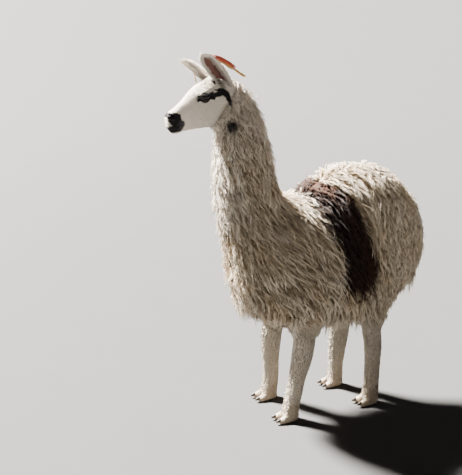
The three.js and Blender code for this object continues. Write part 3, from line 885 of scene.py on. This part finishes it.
def lock_length(root, normal):
    """How long the locks are: longest on the shoulder and flank, short and curly on the rump."""
    on_neck = np.interp(root[:, 2], *NECK_LENGTH)
    length = mix(by_region(root, (FLANK_LENGTH, RUMP_LENGTH, on_neck)), TAIL_LENGTH, tail_share(root))
    length = mix(length, CHEEK_LENGTH, ease(0.02, 0.7, face_share(root)))
    return length * mix(1.0, 0.75, ease(0.5, 0.9, normal[:, 2]))


def fleece_weight(ground):
    """How thickly the long coat grows on each face of the skin: more where its locks are shorter."""
    seat = ground.middle
    behind = 1 - ease(-0.01, 0.02, past_throat(seat)) * (seat[:, 2] > 1.3)
    on_head = 1 - ease(0.0, 0.075, past_throat(seat))
    weight = (ground.zones == "body") * behind + (ground.zones == "head") * on_head
    weight = weight * (1 - shank_share(seat)) * ease(0.405, 0.435, seat[:, 2])
    return weight * 0.1 / np.maximum(lock_length(seat, ground.face_normal), 0.045)


def breast_share(root, normal):
    return neck_share(root) * ease(0.1, 0.6, normal[:, 0]) * (1 - face_share(root))


def lock_guides(ground, root, normal, relief, rings):
    """The path of each lock over the skin, and its length: flicked outwards on breast and nape."""
    locks = len(root)
    length = lock_length(root, normal) * rng.uniform(0.7, 1.2, locks)
    room = root[:, 2] - fringe(root) - rng.uniform(-0.01, 0.03, locks)
    length = np.minimum(length, 0.022 + 1.05 * np.maximum(room, 0))
    height = coat_depth(root) * np.clip(0.66 + 0.24 * relief + rng.uniform(-0.28, 0.28, locks), 0.22, 1.05)
    nape = upper_share(root) * ease(0.3, 0.8, -normal[:, 0])
    flick = np.maximum(0.75 * breast_share(root, normal), 0.45 * nape)
    flick = coat_depth(root) * (0.10 + flick) * rng.uniform(0, 1, locks)
    swirl = rng.normal(0, 1, locks) * by_region(root, LOCK_SWIRL) + 0.25 * ripple(root, 0.11, 51)
    return comb(ground, root, normal, length, height, rings, swirl, flick=flick), length


def grow_locks(ground, weight, locks, per_lock, rings):
    """Locks of long hair where the weight is, as strands with the name of their region."""
    root, normal, uv = ground.roots(locks, weight)
    relief = np.clip(ripple(root * [1, 1, 0.5], 0.034, 52), -1, 1)
    path, length = lock_guides(ground, root, normal, relief, rings)
    face, upper, breast = face_share(root), upper_share(root), breast_share(root, normal)
    wave = by_region(root, LOCK_WAVE) * rng.uniform(0.4, 1.4, locks) * mix(1, 0.15, face)
    wavelength = by_region(root, LOCK_WAVELENGTH) * rng.uniform(0.8, 1.3, locks)
    radius = mix(by_region(root, LOCK_RADIUS), 0.0035, face) * rng.uniform(0.6, 1.3, locks)
    hairs = tufted(path, radius, per_lock, wave, length / wavelength)
    tint = hair_tone(hairs[:, rings // 2])
    # Painted light: the breast, which faces the key, drawn whiter.
    tint = fade(tint, np.maximum(tint, WHITE * 1.04), 0.8 * np.tile(breast, per_lock))
    # Painted light and shade: raised locks lighter and sunken ones darker, over a random tone for each lock.
    lock_tone_and_relief_light = (1 + 0.13 * relief) * rng.uniform(0.74, 1.18, locks)
    tint = tint * np.tile(lock_tone_and_relief_light, per_lock)[:, None] * rng.uniform(0.86, 1.08, (locks * per_lock, 1))
    # Less painted shade at the roots on the rump, and on the nape and the lit breast.
    contrast = np.tile(mix(mix(1.1, 0.85, rump_share(root)), 0.60, np.maximum(upper, breast)), per_lock)
    width = np.tile(mix(by_region(root, LOCK_HAIR_WIDTH), 0.0024, upper), per_lock)
    width = width * rng.uniform(0.55, 1.3, locks * per_lock)
    uv = np.tile(uv, (per_lock, 1))
    region = np.tile(fleece_region(root), per_lock)
    return [(name, strands(hairs[region == name], width[region == name], tint[region == name],
                           uv[region == name], painter=painted, contrast=contrast[region == name]))
            for name in sorted(set(region))]


def make_fleece(ground, material):
    """The long coat over trunk, neck and tail, in a piece for each region, with the undercoat below it."""
    weight = fleece_weight(ground)
    behind = ground.middle[:, 0] < RUMP_FRONT
    raised = (neck_share(ground.middle) > 0.5) & ~behind
    grown = grow_locks(ground, weight * ~(behind | raised), *TRUNK_LOCKS)
    grown += grow_locks(ground, weight * raised, *NECK_LOCKS)
    grown += grow_locks(ground, weight * behind, *RUMP_LOCKS)
    for region in sorted({name for name, _ in grown}):
        join_strands(region, [part for name, part in grown if name == region], material)
    make_undercoat(ground, material, weight)


def make_undercoat(ground, material, weight):
    """Short soft wool that fills the space between the locks near the skin."""
    count = UNDERCOAT_HAIRS
    root, normal, uv = ground.roots(count, weight)
    face = face_share(root)
    length = mix(0.038, 0.014, face) * rng.uniform(0.7, 1.2, count)
    length = np.minimum(length, 0.018 + np.maximum(root[:, 2] - fringe(root), 0))
    height = coat_depth(root) * rng.uniform(0.15, 0.50, count)
    path = comb(ground, root, normal, length, height, 2, rng.normal(0, 0.45, count), rise=1.0)
    tint = hair_tone(path[:, 1]) * rng.uniform(0.76, 1.00, (count, 1))
    width = mix(0.0098, 0.0040, face) * rng.uniform(0.7, 1.2, count)
    part = strands(path, width, tint, uv, 0.35, (0.8, 1.0), painted, UNDER_SHADE_TO_TIP)
    join_strands("coat_under", [part], material)


def painted(co, colour):
    """Paints the marks of the head where hair reaches across their edges."""
    close = (co[:, 0, 2] > 1.33) & (past_throat(co[:, 0]) > -0.08)
    places, tone = co[close].reshape(-1, 3), colour[close].reshape(-1, 3)
    colour[close] = marked(tone, places).reshape(-1, co.shape[1], 3)
    return colour


def make_face_coat(ground, material):
    """Short hair over the face and throat, clear of the eyes and thin on the nose, with the lashes."""
    seat = ground.middle
    weight = (ground.zones == "head") * ease(0.01, 0.05, past_throat(seat))
    weight = weight * eye_clearance(seat) * bare_nose(seat)
    part = short_hairs(ground, FACE_HAIRS, weight, 0.0105, 0.0023, 0.0030)
    join_strands("coat_face", [part, lashes(1), lashes(-1)], material)


def make_leg_coat(ground, material):
    """Short hair down the legs and over the feet, but not on the ledge where a leg leaves the body."""
    height = ground.middle[:, 2]
    upright = np.abs(ground.face_normal[:, 2]) < np.where(np.abs(height - HEM) < 0.03, 0.35, 2)
    weight = (ground.zones == "legs") * ease(0.010, 0.03, height) * (height < 0.380)
    weight = weight + (ground.zones == "body") * shank_share(ground.middle) * (height > 0.376)
    part = short_hairs(ground, LEG_HAIRS, weight * upright, 0.020, 0.0040, 0.0028)
    join_strands("coat_legs", [part], material)


def eye_clearance(q):
    along, across, reach = eye_angles(mirrored(q))
    inside = (reach < 0.045) & (np.abs(along) < 1.5)
    return np.where(inside, ease(1.45, 1.65, lid_measure(along, across)), 1.0)


def bare_nose(q):
    pad, lips = muzzle_marks(q)
    return (1 - 0.97 * ease(0.3, 0.7, pad)) * (1 - 0.6 * lips)


def short_hairs(ground, count, weight, length, width, height):
    """Short hairs: smaller at the nose and over the feet, and shaggier up the legs."""
    root, normal, uv = ground.roots(count, weight)
    face = face_share(root)
    nose = ease(0.60, 0.76, root[:, 0]) * face
    small = 1 - ease(0.03, 0.09, root[:, 2])
    shaggy = ease(0.20, 0.46, root[:, 2]) * (1 - face)
    scale = mix(mix(1.0, 0.5, nose), 0.7, small) * rng.uniform(0.7, 1.3, count) * mix(1, 1.9, shaggy)
    tall = coat_depth(root) * 0.6 + height * rng.uniform(0.2, 0.8, count) * mix(1, 0.5, nose)
    path = comb(ground, root, normal, length * scale, tall, 2, rng.normal(0, 0.25, count), rise=1.0)
    tint = hair_tone(path[:, 1]) * rng.uniform(0.85, 1.08, (count, 1))
    part = strands(path, width * np.minimum(scale, 1.4), tint, uv, 0.5, (0.9, 0.8), painted, SHORT_SHADE_TO_TIP)
    part[0][:, 2] = np.maximum(part[0][:, 2], 0.0005)
    return part


def lashes(side):
    """Dark lashes along the upper lid, swept forward and down over the eye."""
    turn = np.linspace(0.12, 0.92, LASHES) * math.pi
    co = lid_edge(turn, 1.04, 0.0030)
    way = unit(co - EYE) * 0.55 + unit(EYE_AXIS) * 0.8 + np.array([0.15, 0.0, -0.45])
    way = unit(way + rng.normal(0, 0.10, (LASHES, 3)))
    length = 0.0100 * rng.uniform(0.7, 1.15, (LASHES, 1, 1)) * np.sin(turn)[:, None, None] ** 0.4
    path = co[:, None] + (way[:, None] * SHORT_STEPS + UPWARDS * 0.30 * SHORT_STEPS ** 2) * length
    path[:, :, 1] *= side
    tint = np.tile(BLACK, (LASHES, 1))
    return strands(path, np.full(LASHES, 0.0008), tint, np.full((LASHES, 2), 0.5), 1.0, (1.0, 0.8, 0.6),
                   levels=SHORT_SHADE_TO_TIP)


def make_ear_coat(name, ground, material):
    """Fine hair over an ear, with a pale fringe along its rims."""
    axis = ear_frame(name)[2]

    def flow(q, n):
        return unit(np.tile(axis, (len(q), 1)) - n * (n @ axis)[:, None])

    parts = [ear_down(name, ground, flow), ear_fringe(name, ground, flow)]
    join_strands(name.replace("ear", "coat_ear"), parts, material)


def ear_down(name, ground, flow):
    count = EAR_HAIRS
    root, normal, uv = ground.roots(count, (ground.zones == name) * 1.0)
    length = 0.012 * rng.uniform(0.6, 1.4, count)
    height = 0.0018 * rng.uniform(0.4, 1.6, count)
    path = comb(ground, root, normal, length, height, 2, rng.normal(0, 0.3, count), flow, 1.0)
    tint = ear_colour(root, normal, name) * rng.uniform(0.85, 1.15, (count, 1))
    width = 0.0021 * rng.uniform(0.6, 1.3, count)
    return strands(path, width, tint, uv, taper=(0.9, 0.8), levels=SHORT_SHADE_TO_TIP)


def ear_fringe(name, ground, flow):
    count = EAR_FRINGE_HAIRS
    mouth = ear_frame(name)[3]
    rim = (ground.zones == name) * (1 - ease(0.30, 0.65, np.abs(ground.face_normal @ mouth)))
    root, normal, uv = ground.roots(count, rim)
    s, u = ear_spread(root, name)
    s = np.clip(s, 0, 1)
    rear = ease(0.3, 0.8, u) * ease(0.15, 0.3, s) * ease(0.75, 0.6, s)
    length = mix(0.011, 0.018, s) * rng.uniform(0.5, 1.3, count) * mix(1, 1.7, rear)
    bend = flow(root, normal)
    way = unit(bend * 1.5 + normal * 0.25 + mouth * 0.15 + rng.normal(0, 0.16, (count, 3)))
    curve = way[:, None] * SHORT_STEPS + bend[:, None] * 0.25 * SHORT_STEPS ** 2
    tint = np.tile(WHITE, (count, 1)) * rng.uniform(0.85, 1.05, (count, 1))
    width = 0.0022 * rng.uniform(0.6, 1.2, count)
    return strands(root[:, None] + curve * length[:, None, None], width, tint, uv, taper=(0.9, 0.8, 0.6),
                   levels=SHORT_SHADE_TO_TIP)


def join_strands(name, parts, material, nodes=()):
    """One piece of the coat from sets of strands."""
    co, tris = joined([part[:2] for part in parts])
    colour, places = (np.vstack([part[k] for part in parts]) for k in (2, 3))
    dress(make_mesh(name, co + SHIFT, tris, colour, places), material, nodes)


# --- eyes, nails and yarn

def make_eye(name, side, material):
    """A ball with a bulging cornea, a brown iris and a level pupil."""
    axis, line, up = (v * [1, side, 1] for v in eye_frame())
    polar = math.pi * (np.repeat(np.arange(EYE_ROWS + 1), EYE_COLUMNS) / EYE_ROWS) ** 1.25
    turn = np.tile(2 * math.pi * np.arange(EYE_COLUMNS) / EYE_COLUMNS, EYE_ROWS + 1)
    level, rise = np.sin(polar) * np.cos(turn), np.sin(polar) * np.sin(turn)
    bulge = 1 + CORNEA_RISE * np.maximum(0, 1 - (polar / CORNEA_SPAN) ** 2)
    way = np.cos(polar)[:, None] * axis + level[:, None] * line + rise[:, None] * up
    co = way * (EYE_RADIUS * bulge)[:, None] + EYE * [1, side, 1] + SHIFT
    tris = ring_quads(EYE_ROWS, EYE_COLUMNS)[:, [0, 1, 2, 0, 2, 3]].reshape(-1, 3)
    tris = tris if side > 0 else tris[:, ::-1]
    dress(make_mesh(name + "_ball", co, tris, eye_colour(polar, level, rise, turn)), material, [name])


def eye_colour(polar, level, rise, turn):
    """A flecked iris round a wide pupil, and dark beyond it."""
    fleck = 0.75 + 0.25 * np.sin(turn * 23) * np.sin(turn * 7 + 1)
    iris = IRIS_BROWN * (fleck * (1.2 - 0.7 * polar / IRIS_SPAN))[:, None]
    tint = np.where((polar < IRIS_SPAN)[:, None], iris, EYE_DARK)
    in_pupil = np.hypot(level / PUPIL[0], rise / PUPIL[1]) < 1
    return np.where(in_pupil[:, None], PUPIL_BLACK, tint)


def make_nail(name, material):
    """One nail: the solid's own form, rounded, with growth ridges across it."""
    co, tris = skin_part([name], "nail")
    low, high = co[:, 2].min(), co[:, 2].max()
    tint = fade(NAIL_FOOT, NAIL_TOP, (co[:, 2] - low) / (high - low))
    ridges = 0.0001 * np.sin(co[:, 0] * 2 * math.pi / 0.0031)
    co = co + vertex_normals(co, tris) * ridges[:, None]
    co[:, 2] = np.maximum(co[:, 2], low)
    dress(make_mesh(name + "_horn", co + SHIFT, tris, tint), material, [name])


def make_yarn(name, material):
    """Loose yarns tied at one end, spreading into a tassel and hanging with a little sag."""
    start, end, radius, count, colour, sag = YARNS[name]
    each = (count, 1, 1)
    start, end = np.array(start), np.array(end)
    s = np.linspace(0, 1, YARN_POINTS)[None, :, None]
    axis = unit(end - start)
    across = unit(np.cross(axis, UPWARDS))
    out = np.cross(across, axis)
    angle = rng.uniform(0, 2 * math.pi, each)
    spread = radius * np.sqrt(rng.random(each)) * np.interp(s, (0, 0.18, 0.8, 1), (0.2, 0.85, 1.0, 1.05))
    twist = angle + 0.9 * s
    path = start + (end - start) * s * rng.uniform(0.86, 1.04, each)
    path = path + across * spread * np.cos(twist) * 0.6 + out * spread * np.sin(twist)
    path = path + UPWARDS * sag * 4 * s * (1 - s) + rng.normal(0, 0.0006, path.shape)
    below = (np.sin(angle)[:, 0] < -0.86) | (colour == "yellow")
    tint = np.where(below, YARN_YELLOW, YARN_RED) * rng.uniform(0.75, 1.1, (count, 1))
    part = strands(path, np.full(count, YARN_WIDTH), tint, np.full((count, 2), 0.5), 1.0,
                   (0.9, 1, 1, 1, 0.9), levels=SHORT_SHADE_TO_TIP)
    join_strands(name + "_yarn", [part], material, [name])


# --- materials

class Look:
    """A material in the making: its shader, and patterns that keep to the piece's own places."""

    def __init__(self, name, **finish):
        self.material = bpy.data.materials.new(name)
        self.material.use_nodes = True
        self.tree = self.material.node_tree
        self.shader = self.tree.nodes["Principled BSDF"]
        self.place = self.add("TexCoord").outputs["Object"]
        for key, value in finish.items():
            self.shader.inputs[key.replace("_", " ")].default_value = value

    def add(self, kind, values=(), sources=()):
        """A node with those values at its inputs, fed from those outputs."""
        node = self.tree.nodes.new("ShaderNode" + kind)
        for key, value in dict(values).items():
            node.inputs[key].default_value = value
        for key, source in dict(sources).items():
            self.tree.links.new(source, node.inputs[key])
        return node

    def noise(self, scale, stretch=(1, 1, 1), detail=3.0):
        """Noise, finer along the axes that it is scaled up along."""
        place = self.add("Mapping", {"Scale": stretch}, {"Vector": self.place}).outputs["Vector"]
        values = {"Scale": scale, "Detail": detail, "Roughness": 0.55}
        return self.add("TexNoise", values, {"Vector": place}).outputs["Fac"]

    def ramp(self, source, low, high):
        values = {"From Min": 0.3, "From Max": 0.7, "To Min": low, "To Max": high}
        return self.add("MapRange", values, {"Value": source}).outputs["Result"]

    def tint(self, factor):
        """Takes the colour painted on the mesh, made lighter and darker by the factor."""
        painted_on = self.add("VertexColor")
        painted_on.layer_name = "Tint"
        scaled = self.add("VectorMath")
        scaled.operation = "SCALE"
        self.tree.links.new(painted_on.outputs["Color"], scaled.inputs[0])
        self.tree.links.new(factor, scaled.inputs["Scale"])
        self.tree.links.new(scaled.outputs["Vector"], self.shader.inputs["Base Color"])

    def bump(self, height, strength, distance):
        bump = self.add("Bump", {"Strength": strength, "Distance": distance}, {"Height": height})
        self.tree.links.new(bump.outputs["Normal"], self.shader.inputs["Normal"])


def hair_material(name, sheen):
    look = Look(name, Roughness=0.78, Specular_IOR_Level=0.16, Sheen_Weight=sheen, Sheen_Roughness=0.5)
    fine = look.noise(420.0)
    look.tint(look.ramp(fine, 0.86, 1.08))
    look.bump(fine, 0.25, 0.0006)
    return look.material


def skin_material():
    """Short flat hair: fine streaks, longest along the animal's length."""
    look = Look("short_flat_hair", Roughness=0.72, Specular_IOR_Level=0.10)
    streaks = look.noise(1.0, (220, 900, 620), 4.0)
    both = look.add("Math")
    both.operation = "MULTIPLY"
    look.tree.links.new(look.ramp(streaks, 0.80, 1.10), both.inputs[0])
    look.tree.links.new(look.ramp(look.noise(38.0), 0.92, 1.05), both.inputs[1])
    look.tint(both.outputs[0])
    look.bump(streaks, 0.55, 0.0016)
    return look.material


def eye_material():
    look = Look("wet_eye", Roughness=0.06, Specular_IOR_Level=0.12, Coat_Weight=0.25, Coat_Roughness=0.02)
    look.tint(look.ramp(look.noise(900.0), 0.7, 1.25))
    return look.material


def horn_material():
    look = Look("horn", Roughness=0.42, Specular_IOR_Level=0.3)
    grain = look.noise(1.0, (900, 260, 120))
    look.tint(look.ramp(grain, 0.65, 1.3))
    look.bump(grain, 0.3, 0.0005)
    return look.material


def yarn_material():
    look = Look("wool_yarn", Roughness=0.85, Sheen_Weight=0.4)
    twist = look.noise(700.0)
    look.tint(look.ramp(twist, 0.7, 1.2))
    look.bump(twist, 0.6, 0.0008)
    return look.material


def floor_material():
    look = Look("pale_floor", Roughness=0.9)
    tones = {"Color1": (0.037, 0.0365, 0.036, 1), "Color2": (0.043, 0.0425, 0.0418, 1)}
    blend = look.add("MixRGB", tones, {"Fac": look.noise(3.0)})
    look.tree.links.new(blend.outputs["Color"], look.shader.inputs["Base Color"])
    return look.material


# --- stage, light and camera

def make_floor():
    """Flat round the animal, and rising very gently far away."""
    radii = np.concatenate([[0.05], np.linspace(FLOOR_FLAT, FLOOR_EDGE, FLOOR_RINGS)])
    height = FLOOR_RISE * ((radii - FLOOR_FLAT) / (FLOOR_EDGE - FLOOR_FLAT)).clip(0) ** 2
    turn = np.linspace(0, 2 * math.pi, FLOOR_POINTS, endpoint=False)
    places = [(r * math.cos(t), r * math.sin(t), z) for r, z in zip(radii, height) for t in turn]
    faces = [list(range(FLOOR_POINTS))] + ring_quads(len(radii) - 1, FLOOR_POINTS).tolist()
    mesh = bpy.data.meshes.new("floor")
    mesh.from_pydata(places, [], faces)
    mesh.shade_smooth()
    mesh.materials.append(floor_material())
    placed("floor", mesh)


def aim(holder, place, way):
    """Puts a lamp or a camera at a place on the animal's own axes, looking that way."""
    holder.location = Vector(place) + Vector(SHIFT)
    holder.rotation_euler = Vector(way).to_track_quat("-Z", "Y").to_euler()


def make_light():
    """A soft key high behind the far shoulder, a wide strip over the near side and a pale sky."""
    key = bpy.data.lights.new("key", "SUN")
    key.energy = 90.0
    key.angle = math.radians(9)
    key.color = (1.0, 0.96, 0.90)
    aim(placed("key", key), KEY_PLACE, -Vector(KEY_PLACE))
    strip = bpy.data.lights.new("strip", "AREA")
    strip.shape = "RECTANGLE"
    strip.size = 4.0
    strip.size_y = 0.45
    strip.energy = 10
    strip.color = (1.0, 0.97, 0.93)
    aim(placed("strip", strip), STRIP_PLACE, Vector(STRIP_TARGET) - Vector(STRIP_PLACE))
    world = bpy.data.worlds.new("sky")
    world.use_nodes = True
    sky = world.node_tree.nodes["Background"]
    sky.inputs["Color"].default_value = (0.88, 0.85, 0.81, 1)
    sky.inputs["Strength"].default_value = 0.05
    bpy.context.scene.world = world


def make_camera():
    """At eye height off the left fore quarter, looking a little down."""
    camera = bpy.data.cameras.new("camera")
    camera.sensor_fit = "HORIZONTAL"
    camera.sensor_width = 36.0
    camera.lens = CAMERA_LENS
    camera.clip_end = 200.0
    holder = placed("camera", camera)
    aim(holder, CAMERA_PLACE, CAMERA_WAY)
    bpy.context.scene.camera = holder


# --- the llama

make_camera()
make_light()
make_floor()

ground = make_skin(skin_material())
make_fleece(ground, hair_material("fleece_wool", 0.06))
short = hair_material("short_hair", 0.04)
make_face_coat(ground, short)
make_leg_coat(ground, short)
for ear in EAR_NODES:
    make_ear_coat(ear, ground, short)

wet = eye_material()
make_eye("eye_left", 1, wet)
make_eye("eye_right", -1, wet)

horn = horn_material()
for foot in FEET:
    for toe in ("inner", "outer"):
        make_nail(f"nail_{foot}_{toe}", horn)

yarn = yarn_material()
for tuft in YARNS:
    make_yarn(tuft, yarn)
